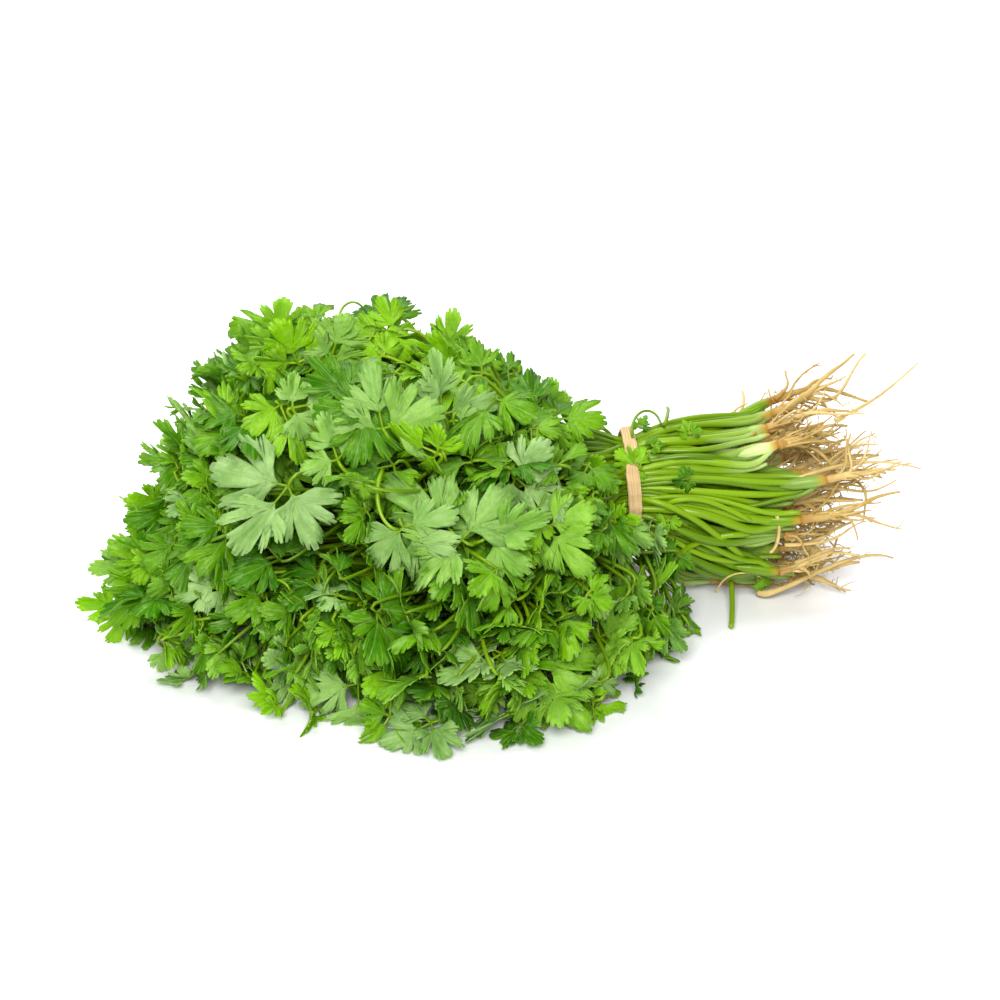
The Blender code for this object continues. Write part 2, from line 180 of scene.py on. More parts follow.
class Growth:
    """Collects the points and faces of one piece, with what its finish reads at each point.

    tone runs from dark to light, pale from green to pale, and along is the way from the root.
    """

    def __init__(self):
        self.points, self.faces, self.patches = [], [], []
        self.start = self.count = 0

    def add(self, points, grain=0.0, tone=0.5, pale=0.0, along=0.0):
        n = len(points)
        marks = (np.broadcast_to(mark, (n,)) for mark in (tone, pale, along))
        self.points.append((points, np.broadcast_to(grain, (n, 2)), *marks))
        self.start, self.count = self.count, self.count + n

    def add_patch(self, width, height):
        """A flat patch, in metres, that holds the next faces on the map that a bake is laid on."""
        self.patches.append((width, height))

    def add_faces(self, block, slot, spots, flat=False):
        """Faces between the points that add() was last given."""
        faces, sides = block.shape
        self.faces.append((
            (block + self.start).ravel(), np.full(faces, sides), np.full(faces, slot),
            np.full(faces, flat), np.full(block.size, len(self.patches) - 1),
            spots.reshape(-1, 2),
        ))

    def laid_out(self, patch_of, spots):
        """Every corner's place on the bake map, with the patches packed into a square."""
        sizes = np.array(self.patches)
        side = math.sqrt(np.prod(sizes, axis=1).sum())
        gap = side * 0.003
        sizes = sizes + 2 * gap
        widths = np.maximum(side * np.linspace(1.02, 1.35, 9), sizes[:, 0].max() * 1.001)
        corners, side = min((shelved(sizes, width) for width in widths), key=lambda tried: tried[1])
        return (spots + corners[patch_of] + gap) / side

    def make(self, name, finishes):
        mesh = bpy.data.meshes.new(name)
        points, grain, *marks = (join(*part) for part in zip(*self.points))
        corners, sizes, slots, flats, patch_of, spots = (join(*part) for part in zip(*self.faces))
        starts = join([0], np.cumsum(sizes)[:-1])
        mesh.vertices.add(len(points))
        mesh.vertices.foreach_set("co", points.astype(np.float32).ravel())
        mesh.loops.add(len(corners))
        mesh.loops.foreach_set("vertex_index", corners.astype(np.int32))
        mesh.polygons.add(len(sizes))
        mesh.polygons.foreach_set("loop_start", starts.astype(np.int32))
        mesh.polygons.foreach_set("material_index", slots.astype(np.int32))
        mesh.polygons.foreach_set("use_smooth", ~flats)
        mesh.update(calc_edges=True)
        maps = {"grain": grain[corners], "OFBake": self.laid_out(patch_of, spots)}
        for label, places in maps.items():
            layer = mesh.uv_layers.new(name=label)
            layer.data.foreach_set("uv", places.astype(np.float32).ravel())
        for label, mark in zip(("tone", "pale", "along"), marks):
            layer = mesh.attributes.new(label, "FLOAT", "POINT")
            layer.data.foreach_set("value", mark.astype(np.float32))
        for finish in finishes:
            mesh.materials.append(finish)
        mesh.validate()
        return stand(name, mesh)


def curve(start, leave, end, arrive, steps):
    """Points on a smooth curve that leaves and arrives along the given vectors."""
    t = np.linspace(0, 1, steps + 1)[:, None]
    return (
        start * (2 * t**3 - 3 * t**2 + 1)
        + leave * (t**3 - 2 * t**2 + t)
        + end * (3 * t**2 - 2 * t**3)
        + arrive * (t**3 - t**2)
    )


def add_tube(growth, path, radii, sides, slot, tone=0.5, pale=0.0, along=0.0, ribs=0.0):
    """A tube along the path, round or with five ribs, closed at both ends."""
    radii = np.broadcast_to(radii, (len(path),))
    path = path.copy()
    path[:, 2] = np.maximum(path[:, 2], radii + OFF_TABLE)
    tangents = unit(np.gradient(path, axis=0))
    normal = np.cross(tangents[0], (0.0, 0.31, 0.95))
    rings = []
    turn = np.linspace(0, 2 * math.pi, sides, endpoint=False)[:, None]
    swell = 1 + ribs * np.cos(turn * 5)
    for point, tangent, radius in zip(path, tangents, radii):
        normal = unit(normal - tangent * np.dot(normal, tangent))
        other = np.cross(tangent, normal)
        rings.append(point + radius * swell * (np.cos(turn) * normal + np.sin(turn) * other))
    rings.append(path[:1] - tangents[:1] * radii[0] * 0.4)
    rings.append(path[-1:] + tangents[-1:] * radii[-1] * 0.6)
    ring = np.arange(sides)
    after = (ring + 1) % sides
    rows = np.arange(len(path) - 1)[:, None] * sides
    quads = np.stack((rows + ring, rows + after, rows + sides + after, rows + sides + ring), -1)
    top = (len(path) - 1) * sides
    caps = join(
        np.stack((after, ring, np.full(sides, top + sides)), -1),
        np.stack((top + ring, top + after, np.full(sides, top + sides + 1)), -1),
    )
    tone = np.broadcast_to(tone, (len(path),))
    lengths = join([0], np.cumsum(lengths_of(np.diff(path, axis=0))))
    grain = np.column_stack((np.repeat(lengths, sides), np.tile(ring / sides, len(path))))
    growth.add(
        join(*rings), grain=join(grain, ((0.0, 0.0), (lengths[-1], 0.0))),
        tone=np.append(np.repeat(tone, sides), tone[[0, -1]]), pale=pale,
        along=along + join(np.repeat(lengths, sides), lengths[:1], lengths[-1:]),
    )
    cap, round_it = radii.max() * 1.5, 2 * math.pi * radii.max()
    growth.add_patch(lengths[-1] + 2 * cap, round_it)
    (u, v), (after_u, _) = grid(lengths[:-1], ring), grid(lengths[1:], ring)
    spots = np.stack((u, v, u, v + 1, after_u, v + 1, after_u, v), -1)
    spots = spots.reshape(-1, 4, 2) * (1, round_it / sides) + (cap, 0)
    cap_spots = []
    for out, one, other, past in ((-1, 1, 0, 0), (1, 0, 1, lengths[-1])):
        spot = (0 * ring, ring + one, 0 * ring, ring + other, 0 * ring + out, ring + 0.5)
        spot = np.stack(spot, -1).reshape(-1, 3, 2)
        cap_spots.append(spot * (cap, round_it / sides) + (cap + past, 0))
    growth.add_faces(quads.reshape(-1, 4), slot, spots)
    growth.add_faces(caps, slot, join(*cap_spots))


plant_places = np.array([
    (share * math.cos(turn), share * math.sin(turn))
    for ring, (count, share) in enumerate(CROWN_RINGS)
    for turn in (2 * math.pi * (k + 0.5 * ring) / count for k in range(count))
])
plants = [Growth() for _ in plant_places]

# A coriander fruit holds two seeds, so the crowns stand in pairs. Their ends are staggered, with
# one of each pair and the lowest ones further in.
crown_plant = np.repeat(np.arange(len(plants)), 2)
twin_side = np.tile((1, -1), len(plants))
twin_turn = np.repeat(draw.uniform(0, math.pi, len(plants)), 2)
twin_away = (twin_side * CROWN_TWIN / CROWN_SPREAD)[:, None]
crown_places = plant_places[crown_plant] + twin_away * np.column_stack(
    (np.cos(twin_turn), np.sin(twin_turn))
)
crown_height = CROWN_RINGS[-1][1] * CROWN_SPREAD + CROWN_RADIUS
crown_points = np.column_stack((
    BAND[0] + CROWN_X + CROWN_STAGGER * np.sin(crown_plant * GOLDEN_ANGLE)
    - draw.uniform(0.003, 0.012, len(crown_plant)) - 0.005 * (twin_side < 0)
    - 0.016 * np.maximum(0, -crown_places[:, 1] - 0.1),
    BAND[1] + crown_places[:, 0] * CROWN_SPREAD,
    np.maximum(crown_height + crown_places[:, 1] * CROWN_SPREAD, 0.0042),
))
crown_axes = unit(np.column_stack((-np.ones(len(crown_places)), -0.30 * crown_places)))
crown_pale = np.clip(draw.normal(0.20, 0.42, len(crown_places)), 0.0, 1.0)


def shared_out(places, goals, crowding):
    """The nearest goal of every place, where a goal moves off as places take it."""
    chosen, taken = np.zeros(len(places), int), np.zeros(len(goals))
    for k in draw.permutation(len(places)):
        chosen[k] = np.argmin(lengths_of(goals - places[k]) + crowding * taken)
        taken[chosen[k]] += 1
    return chosen


# A stem keeps its place in the round bundle from its crown to the leaves that it carries.
seeds = np.arange(STEMS)
stem_reach = np.sqrt((seeds + 0.5) / STEMS)
stem_places = stem_reach[:, None] * np.column_stack(
    (np.cos(seeds * GOLDEN_ANGLE), np.sin(seeds * GOLDEN_ANGLE))
)
stem_crown = shared_out(stem_places, crown_places, 0.03)
stem_plant = crown_plant[stem_crown]

hub_reach = np.clip(1 - hub_past / MOUND_END, 0.02, 1.0)
hub_places = unit(np.column_stack((hubs[:, 1] - BAND[1], hubs[:, 2] - AXIS_HEIGHT)))
hub_places = hub_places * (hub_reach * (0.6 + 0.4 * hub_share))[:, None]
hub_stem = shared_out(hub_places, stem_places, 0.16)

forks, fork_ways = [], []
for k in range(STEMS):
    place, plant, own = stem_places[k], plants[stem_plant[k]], stem_crown[k]
    crown, axis = crown_points[own], crown_axes[own]
    aside = np.array((0.0, *(place - crown_places[own])))
    squeeze = BAND + (BAND_TILT * place[0], *(place * BUNDLE_RADIUS))
    beside = (UNDER_BAND, 0, 0)
    if draw.random() < LOOSE_STEMS:  # its own root has broken off
        root = crown + axis * draw.uniform(-0.004, 0.010) + aside * 0.040
        sheath = root + axis * 0.008
    else:
        root = crown + axis * 0.002 + aside * 0.007
        sheath = crown + axis * draw.uniform(0.011, 0.020) + aside * CROWN_FAN
    reach_in = np.linalg.norm(squeeze - sheath)
    lower = curve(  # from the crown to the band
        sheath, np.array((-1, *(-0.12 * place + 0.2 * aside[1:]))) * reach_in * 0.7,
        squeeze + beside, np.array((-1, *(-0.36 * place))) * reach_in * 0.7, 14,
    )
    stray = STRAY if draw.random() < 0.8 else STRAY_FAR
    stray = np.array((0.0, *draw.normal(0, stray, 2)))
    lower += stray * np.sin(np.linspace(0, math.pi, 15))[:, None] ** 2
    foot = curve(root, axis * 0.008 + aside * 0.01, sheath, np.array((-0.012, 0, 0)), 4)[:-1]
    lower = join(foot, lower)
    mine = hubs[hub_stem == k]
    goal = mine.mean(0) if len(mine) else squeeze + (-0.09, place[0] * 0.05, place[1] * 0.04)
    inward = draw.uniform(*FORK_INWARD)
    fork = np.array((  # where its leaves' stalks branch off
        squeeze[0] + (goal[0] - squeeze[0]) * draw.uniform(*FORK_WAY),
        BAND[1] + (goal[1] - BAND[1]) * inward, AXIS_HEIGHT + (goal[2] - AXIS_HEIGHT) * inward,
    ))
    span = np.linalg.norm(fork - squeeze)
    flare = unit(np.array((-1, 0.8 * place[0], 0.6 * place[1])))
    way = unit(unit(goal - squeeze) + (-0.2, 0, 0.15))
    upper = curve(squeeze - beside, flare * span * 0.5, fork, way * span * 0.5, 16)
    upper += draw.normal(0, 0.002, 3) * np.sin(np.linspace(0, math.pi, 17))[:, None] ** 2
    thick = STEM_RADIUS * draw.uniform(0.62, 1.38)
    count = len(lower) + len(upper)
    station, plain, swell = np.array(STEM_PROFILE).T
    radii = np.interp(np.arange(count), station, plain + thick * swell)
    # From the band on, the stem's tone falls to a quarter where it runs in among the leaves:
    # painted shade.
    add_tube(
        plant, join(lower, upper), radii, 8, STEM_SLOT,
        tone=draw.uniform() * np.interp(np.arange(count), (18, 22), (1.0, 0.25)),
        pale=crown_pale[own] * draw.uniform(0.4, 1.0), along=draw.uniform(0.0, 0.006), ribs=0.035,
    )
    forks.append(fork)
    fork_ways.append(way)

for own, (crown, axis, pale) in enumerate(zip(crown_points, crown_axes, crown_pale)):
    steps = np.linspace(0, 1, 11)
    path = crown + axis * CROWN_LENGTH * steps[:, None]
    radii = np.interp(steps, (0, 0.10, 0.3, 0.7, 1), (0.0017, 0.0023, 0.0027, 0.0023, 0.0008))
    radii = radii * draw.uniform(0.85, 1.15)
    add_tube(
        plants[crown_plant[own]], path, radii, 18, STEM_SLOT, tone=draw.uniform(), pale=pale,
        ribs=0.08,
    )


class Socket:
    """A node's output. Arithmetic on it adds Math nodes."""

    def __init__(self, finish, link):
        self.finish, self.link = finish, link

    def math(self, operation, *others, first=None):
        row = (self, *others) if first is None else (first, self)
        return self.finish.node("ShaderNodeMath", dict(enumerate(row)), operation=operation)

    __add__ = __radd__ = partialmethod(math, "ADD")
    __sub__ = partialmethod(math, "SUBTRACT")
    __mul__ = partialmethod(math, "MULTIPLY")
    __pow__ = partialmethod(math, "POWER")

    def __rsub__(self, other):
        return self.math("SUBTRACT", first=other)

    def between(self, low, high):
        """0 below low, 1 above high and smooth between."""
        values = {"Value": self, "From Min": low, "From Max": high}
        return self.finish.node("ShaderNodeMapRange", values, interpolation_type="SMOOTHSTEP")


class Finish:
    """A material whose nodes are added by node()."""

    def __init__(self, name, **constants):
        self.material = bpy.data.materials.new(name)
        self.material.use_nodes = True
        self.tree = self.material.node_tree
        self.shader = self.tree.nodes["Principled BSDF"]
        self.shade(**constants)

    def node(self, kind, values=None, output=0, **settings):
        made = self.tree.nodes.new(kind)
        for label, setting in settings.items():
            setattr(made, label, setting)
        for label, value in (values or {}).items():
            self.put(made.inputs[label], value)
        return Socket(self, made.outputs[output])

    def put(self, entry, value):
        if isinstance(value, Socket):
            self.tree.links.new(value.link, entry)
        elif isinstance(value, tuple) and len(value) == 3 and entry.type == "RGBA":
            entry.default_value = (*value, 1)
        else:
            entry.default_value = value

    def mix(self, share, first, second):
        """The first colour at a share of 0 and the second at 1."""
        values = {0: share, 6: first, 7: second}
        return self.node("ShaderNodeMix", values, 2, data_type="RGBA")

    def attribute(self, name):
        return self.node("ShaderNodeAttribute", output="Fac", attribute_name=name)

    def grain(self, stretch):
        """Places along and round a tube, or on a flat leaflet, stretched."""
        place = self.node("ShaderNodeUVMap", uv_map="grain")
        return self.node("ShaderNodeMapping", {0: place, 3: stretch})

    def noise(self, scale, detail=2.0, vector=None):
        if vector is None:
            vector = self.node("ShaderNodeTexCoord", output="Object")
        values = {"Scale": scale, "Detail": detail, "Vector": vector}
        return self.node("ShaderNodeTexNoise", values)

    def bump(self, height, strength, distance):
        values = {"Height": height, "Strength": strength, "Distance": distance}
        return self.node("ShaderNodeBump", values)

    def shade(self, **values):
        for label, value in values.items():
            self.put(self.shader.inputs[label.replace("_", " ")], value)


skin = Finish("stem_skin", IOR=1.40, Specular_Tint=(0.92, 1.0, 0.60))
along, tone, pale = (skin.attribute(name) for name in ("along", "tone", "pale"))
blotch = skin.noise(60, 3)
streak = skin.noise(1, 3, skin.grain((18, 9, 1)))
STEM_DEEP, STEM_FRESH, STEM_LIGHT, SHEATH = (
    (0.036, 0.105, 0.001), (0.185, 0.330, 0.003), (0.32, 0.46, 0.03), (0.50, 0.62, 0.24)
)
NECK, NECK_DARK = (0.42, 0.23, 0.03), (0.13, 0.050, 0.012)
green = skin.mix(tone * 0.7 + blotch * 0.3, STEM_DEEP, STEM_FRESH)
green = skin.mix(streak.between(0.45, 0.75) * 0.35, green, STEM_LIGHT)
sheathed = (1 - (along + blotch * 0.02 - 0.01).between(0.002, 0.030)) * pale * 1.2
green = skin.mix(sheathed.math("MINIMUM", 0.95), green, SHEATH)
neck = skin.mix((tone + blotch * 0.6).between(0.7, 1.2), NECK, NECK_DARK)
green = skin.mix(1 - (along + blotch * 0.008).between(0.0035, 0.0095), green, neck)
skin.shade(
    Base_Color=green, Roughness=0.24 + streak * 0.14,
    Normal=skin.bump(streak, 0.25, 0.0003),
)
stem_finish = skin.material

# Leaves
# A coriander leaf is divided in threes. Its leaflets are thin fans, cut deep into three lobes and
# then into blunt teeth at the rim, waxy above and paler below, and light glows through them.

TOP_SLOT, UNDER_SLOT = 1, 2
LEAFLET = 0.0228
SMALL_SHARE, SMALL_SIZES, LARGE_SIZES = 0.62, (0.46, 0.74), (0.74, 1.04)  # of LEAFLET
LEAFLETS = ((0.0, 1.0, 0.26), (1.3, 0.88, 0.12), (-1.3, 0.88, 0.12))  # turn, size, stalk
LEAF_THICKNESS = 0.00028
STALK_RADII, SHOWN_STALK, HIDDEN_STALK = (0.00060, 0.00034), (0.0010, 0.00065), (0.0010, 0.00060)
FOLDED = 0.17  # share of the leaflets
LEAF_CEILING, CEILING_EASE, FLOOR_EASE = 0.132, 0.005, 0.004
HANG_HEIGHTS = (0.018, 0.075)  # where the leaves in front hang down
BLADE_MIDDLE = np.array((0.15, 0.0))
FINE_RINGS, PLAIN_RINGS = (0.34, 0.68, 1.0), (0.52, 1.0)
VARIANTS = 14
LOBES = (  # start and end in degrees from the middle rib, reach at start, middle and end, teeth
    (5.0, 19.5, 0.975, 0.93, 0.78, 2), (26.5, 44.0, 0.76, 0.91, 0.74, 3),
    (51.0, 69.0, 0.74, 0.82, 0.60, 3),
)
TOOTH = ((0.0, 0.150), (0.25, 0.015), (0.74, 0.0))  # share of its width, cut
SLITS = ((23.0, 0.24, 0.54), (47.5, 0.42, 0.66))
WEDGE = ((74.0, 0.49), (72.0, 0.36), (62.0, 0.23), (46.0, 0.10))


def leaflet_rim(chance):
    """The rim of one fan in its own plane, base at the origin and tip at 1, with its own cuts."""
    sides = []
    for side in (1, -1):
        rows = [(0.0, 1.0), (3.2, 0.985)]
        grown = (1.0, *chance.uniform(0.82, 1.06, 2))
        for number, (start, end, first, middle, last, teeth) in enumerate(LOBES):
            for tooth in range(teeth):
                deep = chance.uniform(0.5, 1.15)
                for part, cut in TOOTH:
                    place = (tooth + part) / teeth
                    reach = np.interp(place, (0, 0.5, 1), (first, middle, last)) * grown[number]
                    reach *= 1 - cut * deep + chance.uniform(-0.010, 0.010)
                    rows.append((start + (end - start) * place, reach))
            if number < 2:
                turn, low, high = SLITS[number]
                depth, half = chance.uniform(low, high), chance.uniform(1.2, 3.4)
                rows.extend((turn + off, depth + (0.74 - depth) * part)
                            for off, part in ((-half, 0.46), (0.0, 0.0), (half, 0.46)))
        rows.extend(WEDGE)
        turn, reach = np.array(rows).T
        stretch = np.interp(turn, (0, 20, 45, 70), (0, *chance.normal(0, 1.5, 3)))
        turn = np.radians(side * (turn * chance.uniform(0.88, 1.12) + stretch))
        sides.append(np.column_stack((reach * np.cos(turn), reach * np.sin(turn))))
    return join(sides[0], [(0.0, 0.0)], sides[1][:0:-1])


variant_draw = np.random.default_rng(3)
rims = [leaflet_rim(variant_draw) for _ in range(VARIANTS)]
RAYS = len(rims[0])


class Blades:
    """The points and faces of flat leaflets with a middle point and some rings of points."""

    def __init__(self, reaches):
        self.rings = len(reaches)
        self.flats = [
            BLADE_MIDDLE + join([(0, 0)], *((rim - BLADE_MIDDLE) * reach for reach in reaches))
            for rim in rims
        ]
        self.sheet = 1 + RAYS * self.rings
        ray = np.arange(RAYS)
        after = (ray + 1) % RAYS
        self.fan = np.stack((np.zeros(RAYS, int), 1 + ray, 1 + after), -1)
        self.quads = join(*(
            np.stack((k + ray, k + RAYS + ray, k + RAYS + after, k + after), -1)
            for k in range(1, self.sheet - RAYS, RAYS)
        ))
        rim, beyond = self.sheet - RAYS + ray, self.sheet - RAYS + after
        self.edge = np.stack((rim, rim + self.sheet, beyond + self.sheet, beyond), -1)

    def add_to(self, growth, flat, size):
        """The faces of one leaflet's two sides and rim, for the points just added."""
        wide = join(flat, BLADE_MIDDLE + (flat - BLADE_MIDDLE) * 1.07)
        wide, box = wide - wide.min(0), np.ptp(wide, axis=0)
        for slot, below, way in ((TOP_SLOT, 0, 1), (UNDER_SLOT, self.sheet, -1)):
            growth.add_patch(*(box * size))
            for block in (self.fan[:, ::way], self.quads[:, ::way]):
                growth.add_faces(block + below, slot, wide[block] * size)
        growth.add_faces(self.edge, UNDER_SLOT, wide[self.edge] * size, flat=True)


fine_blades, plain_blades = Blades(FINE_RINGS), Blades(PLAIN_RINGS)


def rolled(across, rise, angle):
    """The place across a leaflet and the height over it, turned about its rib."""
    return (across * np.cos(angle) - rise * np.sin(angle),
            across * np.sin(angle) + rise * np.cos(angle))


def add_leaflet(growth, blades, base, tip, up, size, bend, cup, fold, twist, wave, tone, pale):
    """One leaflet: a thin closed blade, folded and cupped across its rib, bent along it, waved."""
    flat = blades.flats[draw.integers(VARIANTS)]
    x, y = flat[:, 0], flat[:, 1] * draw.uniform(0.90, 1.12)
    along_wave, cross_wave, lobe_wave = draw.uniform(0, 6, 3)
    lift = 0.035 * np.sin(x * 7 + along_wave) + 0.05 * np.sin(y * 9 + cross_wave)
    lift = lift + 0.07 * np.sin(np.arctan2(y, x) * 4.5 + lobe_wave)
    lift = lift * wave * np.minimum(1, (x**2 + y**2) * 2)
    across, rise = y * np.cos(fold), np.abs(y) * np.sin(fold) + lift
    across, rise = rolled(across, rise, -cup * y)
    across, rise = rolled(across, rise, twist * x)
    bend = bend if abs(bend) > 0.02 else 0.02
    arc = bend * x
    ahead = np.sin(arc) / bend + rise * np.sin(arc)
    height = rise * np.cos(arc) - (1 - np.cos(arc)) / bend
    side = np.cross(up, tip)
    sheet = base + size * (ahead[:, None] * tip + across[:, None] * side + height[:, None] * up)
    high = sheet[:, 2] > LEAF_CEILING
    eased = 1 - np.exp((LEAF_CEILING - sheet[high, 2]) / CEILING_EASE)
    sheet[high, 2] = LEAF_CEILING + CEILING_EASE * eased
    floor = OFF_TABLE + LEAF_THICKNESS
    low = sheet[:, 2] < floor + FLOOR_EASE
    eased = np.exp((sheet[low, 2] - floor - FLOOR_EASE) / FLOOR_EASE)
    sheet[low, 2] = floor + FLOOR_EASE * eased
    rings = sheet[1:].reshape(blades.rings, RAYS, 3)
    spokes = np.diff(join(np.broadcast_to(sheet[0], (1, RAYS, 3)), rings), axis=0)
    turns = np.roll(rings, -1, 1) - np.roll(rings, 1, 1)
    normals = unit(np.cross(spokes, turns).reshape(-1, 3) + up * 1e-9)
    normals = join(unit(normals[:RAYS].mean(0, keepdims=True)), normals)
    offset = normals * LEAF_THICKNESS / 2
    growth.add(
        join(sheet + offset, sheet - offset), grain=np.tile(flat, (2, 1)), tone=tone, pale=pale
    )
    blades.add_to(growth, flat, size)


VIEW_TURN, VIEW_RISE, VIEW_DISTANCE = math.radians(-17), math.radians(25), 0.985
LENS, SENSOR, PIXELS = 85, 36, 1000  # mm, mm and the picture's side
NEAR_PIXELS = 12  # how far off a place in the picture may be found
LOOK_ASIDE, LOOK_UP = -0.0533, -0.0050

right = np.array((math.cos(VIEW_TURN), math.sin(VIEW_TURN), 0))
level = np.array((math.sin(VIEW_TURN), -math.cos(VIEW_TURN), 0))
back = level * math.cos(VIEW_RISE) + np.array((0, 0, math.sin(VIEW_RISE)))
above = np.cross(back, right)
target = BAND + right * LOOK_ASIDE + above * LOOK_UP


def seen(points):
    """Where points show in the photograph's frame, and their distance from the lens."""
    offset = points - (target + back * VIEW_DISTANCE)
    depth = -(offset @ back)
    scale = LENS / SENSOR * PIXELS / depth
    across = PIXELS / 2 + offset @ right * scale
    down = PIXELS / 2 - offset @ above * scale
    return np.column_stack((across, down)), depth


def turned(v, axis, angle):
    """The vector v turned about a unit axis."""
    cosine, sine = math.cos(angle), math.sin(angle)
    return v * cosine + np.cross(axis, v) * sine + axis * np.dot(axis, v) * (1 - cosine)


def add_leaf(growth, blades, hub, tip, up, size, tone, pale, bend=0.45, flatness=1.0):
    """A leaf of three leaflets on short stalks round its hub."""
    lay = 1.3 - flatness
    for lean, share, stalk in LEAFLETS:
        ahead = turned(tip, up, lean + draw.normal(0, 0.13))
        over = turned(up, ahead, draw.normal(0, 0.5) * lay)
        side = np.cross(over, ahead)
        pitch = draw.normal(-0.05, 0.45) * lay
        ahead, over = turned(ahead, side, pitch), turned(over, side, pitch)
        base = hub + ahead * size * stalk * draw.uniform(0.7, 1.3)
        path = curve(hub, ahead * size * 0.2, base + ahead * size * 0.10, ahead * size * 0.1, 4)
        radii = np.linspace(*STALK_RADII, 5)
        add_tube(growth, path, radii, 6, STEM_SLOT, tone=tone, along=0.12)
        folded = draw.random() < FOLDED
        add_leaflet(
            growth, blades, base, ahead, over, size * share * draw.uniform(0.88, 1.1),
            bend=draw.normal(bend, 0.9 * lay), cup=draw.normal(0.25, 1.2 * lay),
            fold=draw.uniform(0.5, 1.0) if folded else draw.normal(0.12, 0.4 * lay),
            twist=draw.normal(0, 0.6 * lay), wave=draw.uniform(0.6, 1.5),
            tone=np.clip(tone + draw.normal(0, 0.10), 0, 1), pale=pale,
        )


GLOW, GLOW_COLOUR = 0.32, (0.34, 0.70, 0.002)  # the light that passes through the blade


def leaf_finish(name, deep, fresh, pale_and_sheen, roughness, vein_lift):
    """A green skin, with veins and clouds in a pale colour that is partly painted sheen."""
    finish = Finish(name, IOR=1.42, Specular_Tint=(0.88, 1.0, 0.42))
    place = finish.node("ShaderNodeUVMap", uv_map="grain")
    x = finish.node("ShaderNodeSeparateXYZ", {0: place})
    y = Socket(finish, x.link.node.outputs[1])
    reach = (x * x + y * y) ** 0.5
    angle = y.math("ARCTAN2", x)
    ribs = []  # a few main veins from the base and many side veins, each in a lane of angles
    for lane, width, start in ((0.72, 0.012, 0.0), (0.21, 0.007, 0.30)):
        turn = (angle + lane / 2).math("FLOORED_MODULO", lane) - lane / 2
        aside = (turn * reach).math("ABSOLUTE")
        grown = reach.between(start - 0.05, start + 0.2)
        ribs.append((1 - aside.between(width * 0.3, width)) * grown)
    veins = ribs[0].math("MAXIMUM", ribs[1] * 0.6)
    tone, pale = finish.attribute("tone"), finish.attribute("pale")
    cloud, pucker, fine = finish.noise(90, 3), finish.noise(320, 2), finish.noise(1100, 2)
    fan = finish.node("ShaderNodeCombineXYZ", {0: angle * 6, 1: reach * 2.6, 2: tone * 40})
    rays = finish.noise(1, 3, fan)
    green = finish.mix((tone * 0.75 + cloud * 0.6 + rays * 0.3 - 0.32).between(0, 1), deep, fresh)
    # Where a leaf is marked pale its colour clouds over to the pale one: partly a paler leaf,
    # partly painted sheen.
    paleness_and_sheen = (pale * (rays * 0.7 + cloud * 1.5 - 0.36)).math("MINIMUM", 0.9)
    green = finish.mix(paleness_and_sheen, green, pale_and_sheen)
    # The veins are pale, and the lighter streaks along the rays from the base are painted sheen.
    green = finish.mix(veins * 0.36 + rays.between(0.52, 0.75) * 0.30, green, pale_and_sheen)
    relief = veins * vein_lift + rays * 0.45 + pucker * 2.5 + fine * 0.25
    finish.shade(
        Base_Color=green, Roughness=roughness + cloud * 0.20 + fine * 0.06,
        Normal=finish.bump(relief, 0.6, 0.0006),
    )
    light = finish.node("ShaderNodeBsdfTranslucent", {"Color": GLOW_COLOUR})
    skin = Socket(finish, finish.shader.outputs[0])
    both = finish.node("ShaderNodeMixShader", {0: GLOW, 1: skin, 2: light})
    finish.tree.links.new(both.link, finish.tree.nodes["Material Output"].inputs["Surface"])
    return finish.material


leaf_top = leaf_finish(
    "leaf_upper_side", (0.030, 0.146, 0.001), (0.235, 0.500, 0.003), (0.37, 0.53, 0.23),
    0.26, -0.25,
)
leaf_under = leaf_finish(
    "leaf_under_side", (0.085, 0.230, 0.005), (0.245, 0.480, 0.012), (0.45, 0.60, 0.30),
    0.44, 0.4,
)
